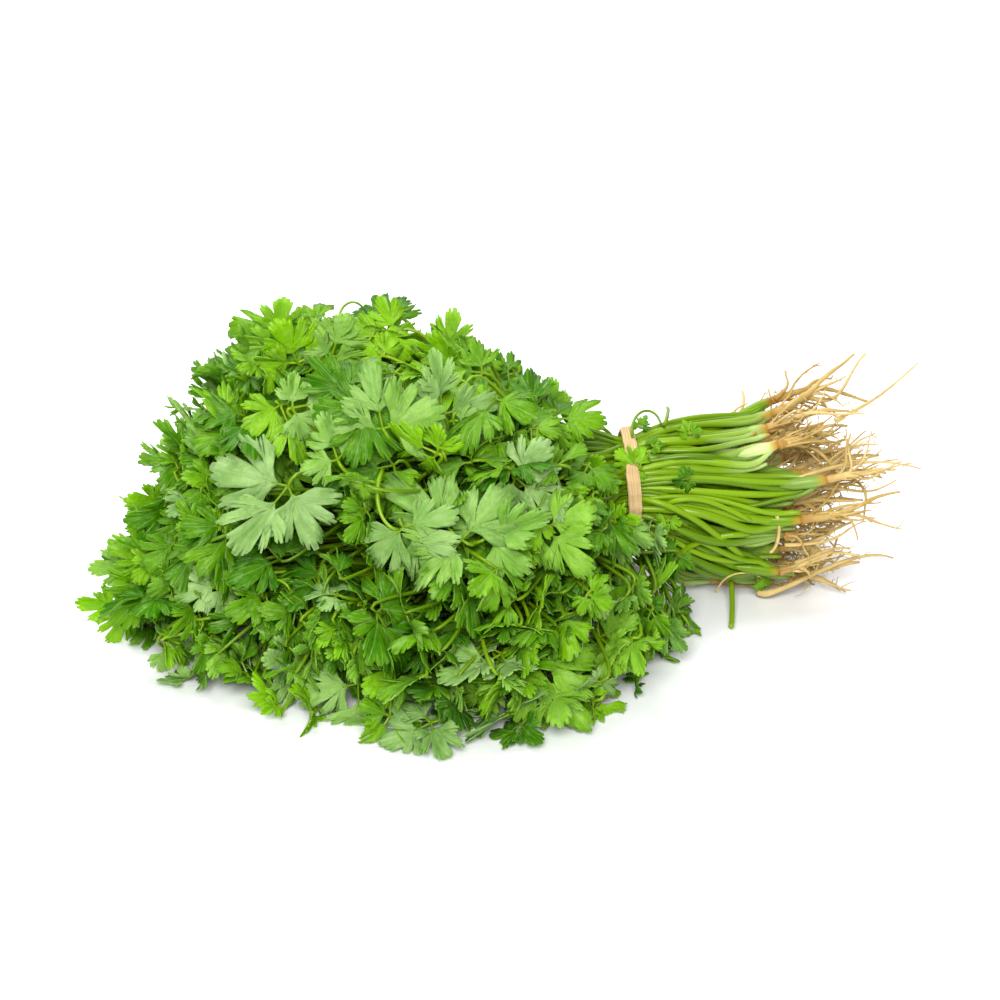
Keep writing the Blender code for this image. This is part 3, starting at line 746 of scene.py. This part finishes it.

# The leaves that stand out most in the picture: where the hub shows, which way the tip points
# (degrees, anticlockwise from the right), leaflet length in mm, how far it faces the view, tone,
# pale (partly painted sheen). Those above the picture's row LOW_ROWS stand a little further out.
MM = 0.001
LOW_ROWS = 620
SHOWN = (
    (281, 486, 231, 29, 0.97, 0.4, 0.8), (386, 421, 100, 23, 0.90, 0.5, 0.4),
    (449, 405, 95, 21, 0.90, 0.4, 0.6), (335, 457, 120, 15, 0.80, 0.8, 0.45),
    (284, 403, 25, 16, 0.80, 0.8, 0.6), (459, 411, 282, 14, 0.70, 0.8, 0.6),
    (463, 540, 140, 28, 0.80, 0.5, 0.4), (404, 527, 300, 23, 0.75, 0.5, 0.7),
    (555, 523, 310, 22, 0.70, 0.8, 0.2), (521, 470, 330, 18, 0.70, 0.4, 0.8),
    (491, 536, 35, 20, 0.60, 0.6, 0.3), (296, 352, 112, 21, 0.60, 1.0, 0.0),
    (458, 362, 92, 18, 0.60, 1.0, 0.0), (560, 402, 80, 14, 0.60, 1.0, 0.1),
    (122, 601, 172, 17, 0.50, 0.9, 0.0), (353, 689, 262, 25, 0.70, 0.6, 0.5),
    (538, 672, 315, 26, 0.60, 0.65, 0.1), (504, 659, 235, 22, 0.60, 0.7, 0.8),
    (161, 652, 340, 14, 0.60, 0.8, 0.5), (290, 661, 255, 20, 0.60, 0.6, 0.6),
    (400, 668, 150, 22, 0.70, 0.7, 0.0), (215, 585, 200, 16, 0.70, 0.8, 0.8),
    (440, 447, 150, 17, 0.60, 1.0, 0.0), (588, 462, 100, 16, 0.70, 0.85, 0.0),
    (655, 602, 340, 17, 0.50, 0.8, 0.1), (640, 650, 350, 17, 0.40, 0.6, 0.2),
    (632, 527, 260, 15, 0.60, 0.5, 0.4), (660, 533, 268, 13, 0.60, 0.6, 0.7),
    (626, 520, 20, 10, 0.60, 0.9, 0.0), (278, 330, 95, 17, 0.60, 1.0, 0.1),
    (452, 345, 80, 16, 0.60, 1.0, 0.1), (250, 348, 130, 13, 0.60, 0.6, 0.1),
    (330, 345, 70, 15, 0.70, 0.8, 0.4), (610, 640, 330, 18, 0.60, 0.7, 0.1),
    (230, 640, 220, 20, 0.60, 0.8, 0.2), (185, 560, 190, 18, 0.60, 0.6, 0.1),
    (160, 500, 150, 16, 0.50, 0.8, 0.0), (560, 690, 290, 20, 0.60, 0.9, 0.2),
)


def pointed(tip_turn, up):
    """The direction square to up that points that way in the picture, in degrees."""
    tip = right * math.cos(math.radians(tip_turn)) + above * math.sin(math.radians(tip_turn))
    return unit(tip - up * np.dot(tip, up))


def laid(surface, across_at, down_at):
    """The point at that place in the picture, on the nearest part of a surface, and its index."""
    at_all, depth = seen(surface)
    miss = lengths_of(at_all - (across_at, down_at))
    at = np.argmin(miss + 500 * depth * (miss < NEAR_PIXELS) + 1000 * (miss >= NEAR_PIXELS))
    if miss[at] > NEAR_PIXELS:
        at = np.argmin(miss)
    offset = (across_at - at_all[at, 0]) * right - (down_at - at_all[at, 1]) * above
    return surface[at] + offset * depth[at] * SENSOR / LENS / PIXELS, at


mound_past, mound_turn = grid(
    np.linspace(MOUND_END, 0.006, 180), np.linspace(0.02, math.pi - 0.02, 220)
)
mound_skin = mound_point(mound_past, mound_turn, 1.04)
shown_rows = []
for across_at, down_at, tip_turn, length, facing, tone, pale in SHOWN:
    point, at = laid(mound_skin, across_at, down_at)
    out = mound_outward(mound_past[at:at + 1], mound_turn[at:at + 1])[0]
    up = unit(back * facing + out * (1 - facing) + draw.normal(0, 0.10, 3))
    point = point + out * 0.005 + back * (0.006 if down_at < LOW_ROWS else 0.0)
    shown_rows.append((point, out, up, pointed(tip_turn, up), length * MM, facing, tone, pale))

# The other leaves grow beside and under these, and further off where one faces the view.
kept = np.full(len(hubs), True)
for point, _, up, tip, size, facing, _, _ in shown_rows:
    offset = hubs - (point + tip * size * 0.40)
    rise = offset @ up
    aside = lengths_of(offset - rise[:, None] * up)
    cleared = np.interp(facing, (0.70, 0.75, 0.90, 0.97), (0.010, size, size, size * 1.3))
    sunk = 0.013 if facing > 0.95 else 0.006
    kept &= (aside > cleared) | (rise < -sunk) | (rise > 0.030)


def add_stalk(stem, hub, arrive, radii, steps, tone):
    """A leaf's long stalk, from the fork of its stem to its hub."""
    fork, gap = forks[stem], np.linalg.norm(hub - forks[stem])
    path = curve(fork, fork_ways[stem] * gap * 0.9, hub, arrive * gap * 0.8, steps)
    radii = np.linspace(*radii, steps + 1)
    add_tube(plants[stem_plant[stem]], path, radii, 8, STEM_SLOT, tone=tone, along=0.10)


for point, out, up, tip, size, _, tone, pale in shown_rows:
    stem = hub_stem[np.argmin(lengths_of(hubs - point))]
    plant = plants[stem_plant[stem]]
    add_stalk(stem, point, unit(tip * 0.7 + out * 0.5), SHOWN_STALK, 12, tone)
    add_leaf(plant, fine_blades, point, tip, up, size, tone, pale, bend=0.25, flatness=1.15)

for k in np.flatnonzero(kept):
    hub, out, stem = hubs[k], hub_outward[k], hub_stem[k]
    facing = np.array((out[0], out[1], abs(out[2])))
    lean_out = -0.50 if hub[1] < BAND[1] + 0.030 else 0.25
    hangs = hub[1] < BAND[1] and HANG_HEIGHTS[0] < hub[2] < HANG_HEIGHTS[1]
    toward = back * (0.50 if hangs else 0.15 if hub[1] < BAND[1] else 0.0)
    up = unit(facing + toward + (-0.10, lean_out, 0.12) + draw.normal(0, 0.33, 3))
    away = (-0.50, 0.45 * out[1], -0.7 if out[2] < 0.8 else 0.0) + draw.normal(0, 0.50, 3)
    if hangs:
        away = away + (0.20, 0.0, -0.45)
    if hub_past[k] > -0.045:
        away[0] = -0.4 - abs(away[0])
    tip = unit(away - up * np.dot(away, up))
    size = LEAFLET * draw.uniform(*(SMALL_SIZES if draw.random() < SMALL_SHARE else LARGE_SIZES))
    size *= np.interp(hub_past[k], (-0.07, -0.035), (1.0, 0.75))  # smaller next to the stems
    arrive = unit(out * 0.5 + tip * 0.6 + draw.normal(0, 0.2, 3))
    # Leaves of the inner layers get a darker tone and no pale colour: painted shade inside the
    # head, and their stalks take the same tone. The other leaves' pale colour is partly painted
    # sheen.
    deep = hub_share[k] < 1
    tone = draw.uniform() * (0.45 if deep else 1.0)
    pale = 0.0 if deep else float(np.clip(draw.normal(-0.10, 0.32), 0, 1))
    add_stalk(stem, hub, arrive, HIDDEN_STALK, 10, tone)
    add_leaf(plants[stem_plant[stem]], plain_blades, hub, tip, up, size, tone, pale)

# Loose stalks
# Some leaf stalks have slipped out of place: bare green stems lie across the bundle, loop out of
# the head or lie on the table. A few small young leaves show on the bundle too.

STALKS = (  # places in the picture, radii in mm at the ends, tone
    (((636, 498), (690, 517), (732, 548), (768, 578)), 1.3, 1.7, 0.8),
    (((668, 566), (692, 545), (722, 536), (754, 534)), 1.2, 1.4, 0.9),
    (((633, 440), (635, 418), (648, 411), (662, 424)), 0.7, 0.5, 0.6),
    (((664, 426), (667, 416), (668, 407)), 0.9, 0.7, 0.5),
    (((664, 506), (700, 500), (733, 512), (756, 522)), 1.0, 1.1, 0.9),
)
LOOPS = (
    (((346, 345), (339, 318), (350, 303), (366, 312)), 0.55, 0.45, 0.7),
    (((264, 600), (268, 582), (284, 582), (290, 598)), 0.6, 0.5, 0.8),
    (((382, 470), (378, 500), (386, 522), (402, 530)), 0.9, 0.6, 0.9),
    (((400, 440), (425, 434), (440, 446), (446, 462)), 0.7, 0.6, 0.8),
)
YOUNG_LEAVES = (  # where the hub shows, which way the tip points, leaflet length in mm, tone
    (640, 467, 158, 9, 1.0), (688, 479, 185, 7, 0.1), (668, 520, 265, 6, 0.7),
    (757, 580, 20, 7, 0.6), (690, 434, 100, 6, 0.8), (640, 428, 60, 5, 0.4), (652, 446, 30, 5, 0.5),
)
STALK_POINTS = 18
STALK_LIFT = ((0, -0.002), (0.12, 0.0025), (0.85, 0.0022), (1, -0.005))  # share of its way, height
FALLEN = (  # where the stalk on the table starts, its heading, and the same at its end
    (0.041, -0.016, 0.012), (-0.001, -0.014, -0.012), (0.031, -0.043, 0.0016),
    (-0.008, -0.014, -0.001),
)

past, turn = grid(np.linspace(0, 0.070, 60), np.linspace(0, 2 * math.pi, 180))
radius = np.interp(past, (0, 0.030, 0.070), (0.0245, 0.031, 0.040))
bundle_skin = BAND + np.column_stack(
    (past, radius * np.cos(turn), radius * np.sin(turn) - past * 0.16)
)


def drawn_path(surface, marks, steps):
    """A smooth path through places in the picture, laid on a surface."""
    spots = np.array([laid(surface, *mark)[0] for mark in marks])
    share = np.linspace(0, 1, len(spots))
    return np.column_stack([
        np.polyval(np.polyfit(share, row, len(share) - 1), np.linspace(0, 1, steps))
        for row in spots.T
    ])


def plant_near(point):
    """The number of the plant whose crown is nearest to a point."""
    return crown_plant[np.argmin(lengths_of(crown_points - point))]


lift = np.interp(np.linspace(0, 1, STALK_POINTS), *np.transpose(STALK_LIFT))[:, None]
for surface, rows in ((bundle_skin, STALKS), (mound_skin, LOOPS)):
    for marks, first, last, tone in rows:
        path = drawn_path(surface, marks, STALK_POINTS) + back * lift
        add_tube(
            plants[plant_near(path[-1])], path, np.linspace(first, last, STALK_POINTS) * MM, 8,
            STEM_SLOT, tone=tone, along=0.10, ribs=0.03,
        )
for across_at, down_at, tip_turn, length, tone in YOUNG_LEAVES:
    point = laid(bundle_skin, across_at, down_at)[0] + back * 0.002
    up = unit(back + draw.normal(0, 0.3, 3))
    add_leaf(
        plants[plant_near(point)], plain_blades, point, pointed(tip_turn, up), up, length * MM,
        tone, 0.0, flatness=0.9,
    )
fallen = BAND * (1, 1, 0) + curve(*np.array(FALLEN), 14)
add_tube(plants[plant_near(fallen[0])], fallen, 0.0011, 8, STEM_SLOT, tone=0.9, along=0.10)

# Each plant is one piece, from its crowns to its leaves and loose stalks.
for number, plant in enumerate(plants, 1):
    name = f"plant_{number:02d}"
    piece = plant.make("fine_" + name, [stem_finish, leaf_top, leaf_under])
    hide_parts(name)
    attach(piece, "root")

# Roots
# Every crown ends in a thin tapering taproot with wiry side roots, washed clean but not trimmed.
# Fine rootlets and broken stubs stand out from them, and they are brown where they branch.

TAP_LENGTHS, TAP_RADII, TAP_TIP = (0.024, 0.047), (0.0016, 0.0023), 0.0005
SIDE_LENGTHS, SIDE_RADII, SIDE_TIP = (0.013, 0.036), (0.0006, 0.0014), 0.0003
ROOTLET_LENGTHS, ROOTLET_RADIUS, ROOTLET_TIP = (0.002, 0.010), 0.00028, 0.00012
LONG_ROOTS = (  # single roots that reach far out: places in the picture, radii in mm at the ends
    (((812, 398), (836, 396), (850, 376), (866, 353)), 1.0, 0.4),
    (((835, 420), (868, 403), (893, 385), (918, 363)), 0.9, 0.35),
    (((758, 592), (790, 585), (842, 562), (893, 558)), 1.6, 0.4),
    (((785, 545), (830, 540), (848, 530), (866, 521)), 0.8, 0.3),
    (((776, 514), (779, 530), (776, 545), (770, 552)), 0.9, 0.6),
    (((716, 592), (728, 577), (745, 573), (762, 578)), 0.5, 0.3),
    (((800, 478), (840, 466), (880, 462), (921, 469)), 1.0, 0.3),
)
LONG_POINTS = 20
LONG_REACH, LONG_RADIUS, LONG_DROP = (0.030, 0.125), 0.036, 0.011


def wander(start, heading, length, steps, turn, lift):
    """A root's path: it keeps its heading loosely, and bends a little at every step."""
    path = [start]
    heading = unit(heading)
    drift = np.zeros(3)
    for _ in range(steps):
        drift = drift * 0.6 + draw.normal(0, turn, 3)
        heading = unit(heading + drift + (0, 0, lift))
        path.append(path[-1] + heading * length / steps)
    path = np.array(path)
    path[:, 2] = np.maximum(path[:, 2], 0.0012)
    return path


def knobbly(radius, tip, count):
    """Radii that taper to the tip, with small swellings."""
    taper = radius + (tip - radius) * np.linspace(0, 1, count) ** 0.7
    return taper * draw.uniform(0.86, 1.18, count)


roots = [Growth() for _ in plants]
for own, (crown, axis, place) in enumerate(zip(crown_points, crown_axes, crown_places)):
    growth = roots[crown_plant[own]]
    heading = np.array((1.0, 0.13 * place[0], 0.08 + 0.09 * place[1]))
    grown = 1 - 0.30 * max(0.0, -place[0]) * (place[1] < 0)
    tone = draw.uniform()
    length = draw.uniform(*TAP_LENGTHS) * grown
    tap = wander(crown - axis * 0.0005, heading, length, 18, 0.055, 0.002)
    add_tube(growth, tap, knobbly(draw.uniform(*TAP_RADII), TAP_TIP, 19), 10, 0, tone=tone)
    for _ in range(draw.integers(7, 11)):
        at = min(draw.integers(0, 9), draw.integers(0, 9))
        side = wander(
            tap[at] + draw.normal(0, 0.0008, 3), heading + draw.normal(0, 0.13, 3),
            draw.uniform(*SIDE_LENGTHS) * grown, 16, 0.075, 0.0,
        )
        add_tube(
            growth, side, knobbly(draw.uniform(*SIDE_RADII), SIDE_TIP, 17), 7, 0,
            tone=np.clip(tone + draw.normal(0, 0.3), 0, 1), along=0.003 * at,
        )
        for _ in range(draw.integers(2, 5)):
            at_fine = draw.integers(2, 16)
            fine = wander(
                side[at_fine], heading * 0.7 + draw.normal(0, 0.6, 3),
                draw.uniform(*ROOTLET_LENGTHS), 6, 0.13, 0.0,
            )
            radii = knobbly(ROOTLET_RADIUS, ROOTLET_TIP, 7)
            add_tube(growth, fine, radii, 5, 0, tone=tone, along=0.02)

# The long roots lie on a surface round the crowns.
past, turn = grid(np.linspace(*LONG_REACH, 60), np.linspace(0, 2 * math.pi, 180))
around_roots = BAND + np.column_stack((
    past, LONG_RADIUS * np.cos(turn), LONG_RADIUS * np.sin(turn) - LONG_DROP,
))
for marks, first, last in LONG_ROOTS:
    path = drawn_path(around_roots, marks, LONG_POINTS)
    radii = np.linspace(first, last, LONG_POINTS)
    radii = radii * draw.uniform(0.85, 1.15, LONG_POINTS) * MM
    add_tube(roots[plant_near(path[0])], path, radii, 8, 0, tone=0.8, along=0.01)

skin = Finish("root_skin", IOR=1.4, Specular_Tint=(1.0, 0.92, 0.65))
along, tone = skin.attribute("along"), skin.attribute("tone")
blotch, fibre = skin.noise(140, 4), skin.noise(1200, 3)
ROOT_TAN, ROOT_CREAM, ROOT_NECK, ROOT_SPOT = (
    (0.33, 0.205, 0.045), (0.60, 0.45, 0.185), (0.28, 0.12, 0.014), (0.20, 0.10, 0.015)
)
tan = skin.mix((tone * 0.5 + blotch * 0.9 - 0.15).between(0, 1), ROOT_TAN, ROOT_CREAM)
tan = skin.mix((1 - (along + blotch * 0.01).between(0.002, 0.016)) * 0.7, tan, ROOT_NECK)
tan = skin.mix(blotch.between(0.62, 0.75) * 0.6, tan, ROOT_SPOT)
skin.shade(
    Base_Color=tan, Roughness=0.5 + fibre * 0.2, Normal=skin.bump(fibre + blotch, 0.6, 0.0004)
)
for number, growth in enumerate(roots, 1):
    name = f"root_{number:02d}"
    piece = growth.make("fine_" + name, [skin.material])
    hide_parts(name)
    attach(piece, "root")

# Rubber band
# One flat band of tan rubber is wound round the stems until it grips. Its turns lie side by side
# and partly on each other, and each takes up the bumps of the stems below.

BAND_WIDTH, BAND_INNER, BAND_OUTER = 0.0058, 0.0236, 0.0252  # the last two are radii
AROUND = 160
RIDGES, RIDGE_DEPTH = 5, 0.00030
RIM_DROPS = (0.0009, 0.0003)  # at the band's edge and next to it
RUBBER_DARK, RUBBER_LIGHT = (0.42, 0.265, 0.105), (0.64, 0.46, 0.23)
BUMPS = ((0.00028, 27, 1), (0.00022, 17, 0), (0.00012, 61, 0))  # height, how many, phase
SLIPS = ((0.00045, 2, 0.6), (0.00015, 7, 0))


def rippled(ripples):
    return sum(height * np.sin(turn * count + phase) for height, count, phase in ripples)


turn = np.linspace(0, 2 * math.pi, AROUND, endpoint=False)
share = np.linspace(-0.5, 0.5, RIDGES * 6 + 1)
wave = np.cos(share * RIDGES * 2 * math.pi + math.pi)
crest = BAND_OUTER - RIDGE_DEPTH * (0.5 - 0.5 * wave) ** 3
for k, drop in enumerate(RIM_DROPS):
    crest[[k, -1 - k]] = BAND_OUTER - drop
profile_x = join(share * BAND_WIDTH, share[[-1, 0]] * BAND_WIDTH * 0.97)
profile_r = join(crest, (BAND_INNER, BAND_INNER))
ring_x = profile_x[None] + (rippled(SLIPS) + BAND_TILT * np.cos(turn))[:, None]
ring_r = profile_r[None] + rippled(BUMPS)[:, None]
points = BAND + np.stack(
    (ring_x, ring_r * np.cos(turn)[:, None], ring_r * np.sin(turn)[:, None]), -1
).reshape(-1, 3)
columns = len(profile_x)
i, j = grid(np.arange(AROUND), np.arange(columns))
here, ahead, after = i * columns, (i + 1) % AROUND * columns, (j + 1) % columns
quads = np.stack((here + j, here + after, ahead + after, ahead + j), -1)
growth = Growth()
growth.add(points, grain=np.column_stack((
    np.repeat(turn, columns), np.tile(profile_x / BAND_WIDTH, AROUND)
)))
profile = np.column_stack((profile_x, profile_r))[np.arange(columns + 1) % columns]
outline = join([0], np.cumsum(lengths_of(np.diff(profile, axis=0))))
step = 2 * math.pi * BAND_OUTER / AROUND
u, v, past = i * step, outline[j], outline[j + 1]
spots = np.stack((u, v, u, past, u + step, past, u + step, v), -1)
growth.add_patch(AROUND * step, outline[-1])
growth.add_faces(quads, 0, spots)

rubber = Finish("tan_rubber", IOR=1.5)
grain = rubber.noise(1, 4, rubber.grain((1.2, 60, 1)))
dust = rubber.noise(700, 3)
tan = rubber.mix(grain.between(0.3, 0.7), RUBBER_DARK, RUBBER_LIGHT)
rubber.shade(
    Base_Color=tan, Roughness=0.48 + dust * 0.2,
    Normal=rubber.bump(grain + dust * 0.4, 0.5, 0.0003),
)
piece = growth.make("fine_rubber_band", [rubber.material])
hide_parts("rubber_band")
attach(piece, "root")

# Studio
# The bunch lies on a plain white floor in soft light from all round. Three broad lamps stand
# high round it: one over the leaves, the strongest in front and the widest behind.

FLOOR_REACH = 9
FLOOR_WHITE = (0.93, 0.93, 0.94)
SKY_STRENGTH = 0.39
LIGHTS = (  # name, place, width, height, watts, what it points at
    ("key_light", (-0.5, 0.5, 1.5), 1.0, 0.8, 26, (-0.03, 0, 0.05)),
    ("front_light", (-0.5, -1.40, 1.15), 0.85, 0.65, 44, (-0.03, 0, 0.05)),
    ("back_light", (0.5, 1.9, 1.2), 2.0, 0.8, 14, (0.2, 0.5, 0)),
)


def aim(thing, spot, toward):
    """Puts the object at the spot, with its -Z axis towards a point and +X level."""
    behind = unit(np.array(spot) - np.array(toward))
    level = unit(np.cross((0, 0, 1), behind))
    matrix = np.eye(4)
    matrix[:3, :3] = np.column_stack((level, np.cross(behind, level), behind))
    matrix[:3, 3] = spot
    thing.matrix_world = [list(row) for row in matrix.T]


lens = bpy.data.cameras.new("camera")
lens.lens, lens.sensor_width, lens.clip_end = LENS, SENSOR, 100
camera = stand("camera", lens)
aim(camera, target + back * VIEW_DISTANCE, target)
scene.camera = camera

for name, spot, width, height, power, toward in LIGHTS:
    lamp = bpy.data.lights.new(name, "AREA")
    lamp.shape, lamp.size, lamp.size_y, lamp.energy = "RECTANGLE", width, height, power
    aim(stand(name, lamp), spot, toward)

sky = bpy.data.worlds.new("studio")
sky.use_nodes = True
even = sky.node_tree.nodes["Background"].inputs
even["Color"].default_value, even["Strength"].default_value = (1, 1, 1, 1), SKY_STRENGTH
scene.world = sky

far = FLOOR_REACH
corners = [(-far, -far, 0), (far, -far, 0), (far, far, 0), (-far, far, 0)]
floor_mesh = bpy.data.meshes.new("floor")
floor_mesh.from_pydata(corners, [], [(0, 1, 2, 3)])
floor = stand("floor", floor_mesh)
white = Finish("white_floor", Base_Color=FLOOR_WHITE, Roughness=0.30, Emission_Strength=0.75)
place = white.node("ShaderNodeTexCoord", output="Object")
distance = white.node("ShaderNodeVectorMath", {0: place}, "Value", operation="LENGTH")
# Away from the bunch the floor glows, so that it stays white up to the picture's edges.
glow = white.mix(distance.between(0.75, 2.4), (0.0, 0.0, 0.0), (1.0, 1.0, 1.0))
white.shade(Emission_Color=glow)
floor_mesh.materials.append(white.material)

scene.view_settings.view_transform = "Standard"
scene.view_settings.look = "None"
